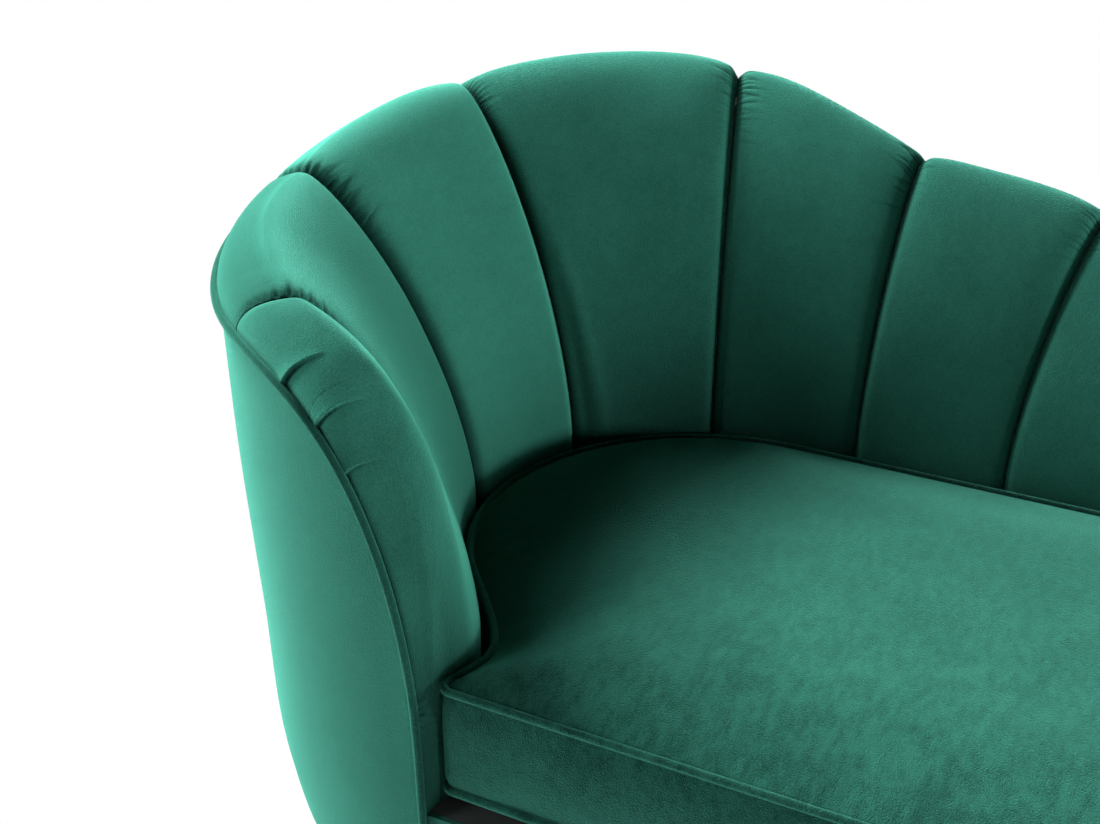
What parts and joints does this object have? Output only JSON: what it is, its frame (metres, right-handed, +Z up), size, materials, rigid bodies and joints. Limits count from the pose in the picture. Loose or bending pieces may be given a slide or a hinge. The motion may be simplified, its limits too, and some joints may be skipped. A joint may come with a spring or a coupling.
{
  "type": "chaise longue",
  "caption": "Velvet chaise longue with a tub-shaped, channel-padded back that slopes down along one side, a loose boxed seat cushion with piping, and short turned legs.",
  "frame": {"origin": "on the floor, under the middle of the footprint", "axes": "+X along the seat from the round head end to the foot, +Y from the open front to the back, +Z up"},
  "size_m": [1.5106, 0.8012, 0.8268],
  "materials": {
    "velvet": "short-pile velvet, soft sheen",
    "lining_cloth": "plain dark lining cloth",
    "frame_timber": "sawn hardwood",
    "frame_board": "plywood",
    "steel": "bare steel",
    "leg_wood": "dark stained, satin",
    "glide_plastic": "black plastic"
  },
  "bodies": {
    "frame": {"arm_post": "frame_board", "back_channel_1": "velvet", "back_channel_2": "velvet", "back_channel_3": "velvet", "back_channel_4": "velvet", "back_channel_5": "velvet", "back_channel_6": "velvet", "back_channel_7": "velvet", "back_channel_8": "velvet", "back_channel_9": "velvet", "back_end_panel": "velvet", "back_panel": "frame_board", "back_rail": "frame_timber", "back_rib_1": "frame_board", "back_rib_2": "frame_board", "back_rib_3": "frame_board", "back_rib_4": "frame_board", "back_rib_5": "frame_board", "back_rib_6": "frame_board", "back_rib_7": "frame_board", "back_rib_8": "frame_board", "base_cover": "velvet", "corner_block_back": "frame_timber", "corner_block_front": "frame_timber", "cross_rail": "frame_timber", "dust_cover": "lining_cloth", "foot_rail": "frame_timber", "front_rail": "frame_timber", "head_rail": "frame_timber", "leg_back_foot": "leg_wood", "leg_back_head": "leg_wood", "leg_board_foot": "frame_board", "leg_board_head": "frame_board", "leg_front_foot": "leg_wood", "leg_front_head": "leg_wood", "leg_glide_back_foot": "glide_plastic", "leg_glide_back_head": "glide_plastic", "leg_glide_front_foot": "glide_plastic", "leg_glide_front_head": "glide_plastic", "leg_plate_back_foot": "steel", "leg_plate_back_head": "steel", "leg_plate_front_foot": "steel", "leg_plate_front_head": "steel", "outer_cover": "velvet", "seat_deck": "lining_cloth", "seat_spring_1": "steel", "seat_spring_2": "steel", "seat_spring_3": "steel", "seat_spring_4": "steel", "seat_spring_5": "steel", "seat_spring_6": "steel", "shell_piping": "velvet", "top_rail": "frame_timber"},
    "cushion": {"seat_cushion": "velvet", "cushion_piping_low": "velvet", "cushion_piping_top": "velvet"}
  },
  "joints": [
    {"name": "cushion_lift", "type": "slide", "parent": "frame", "child": "cushion", "axis": [0, 0, 1], "range_m": [0, 0.5]}
  ]
}
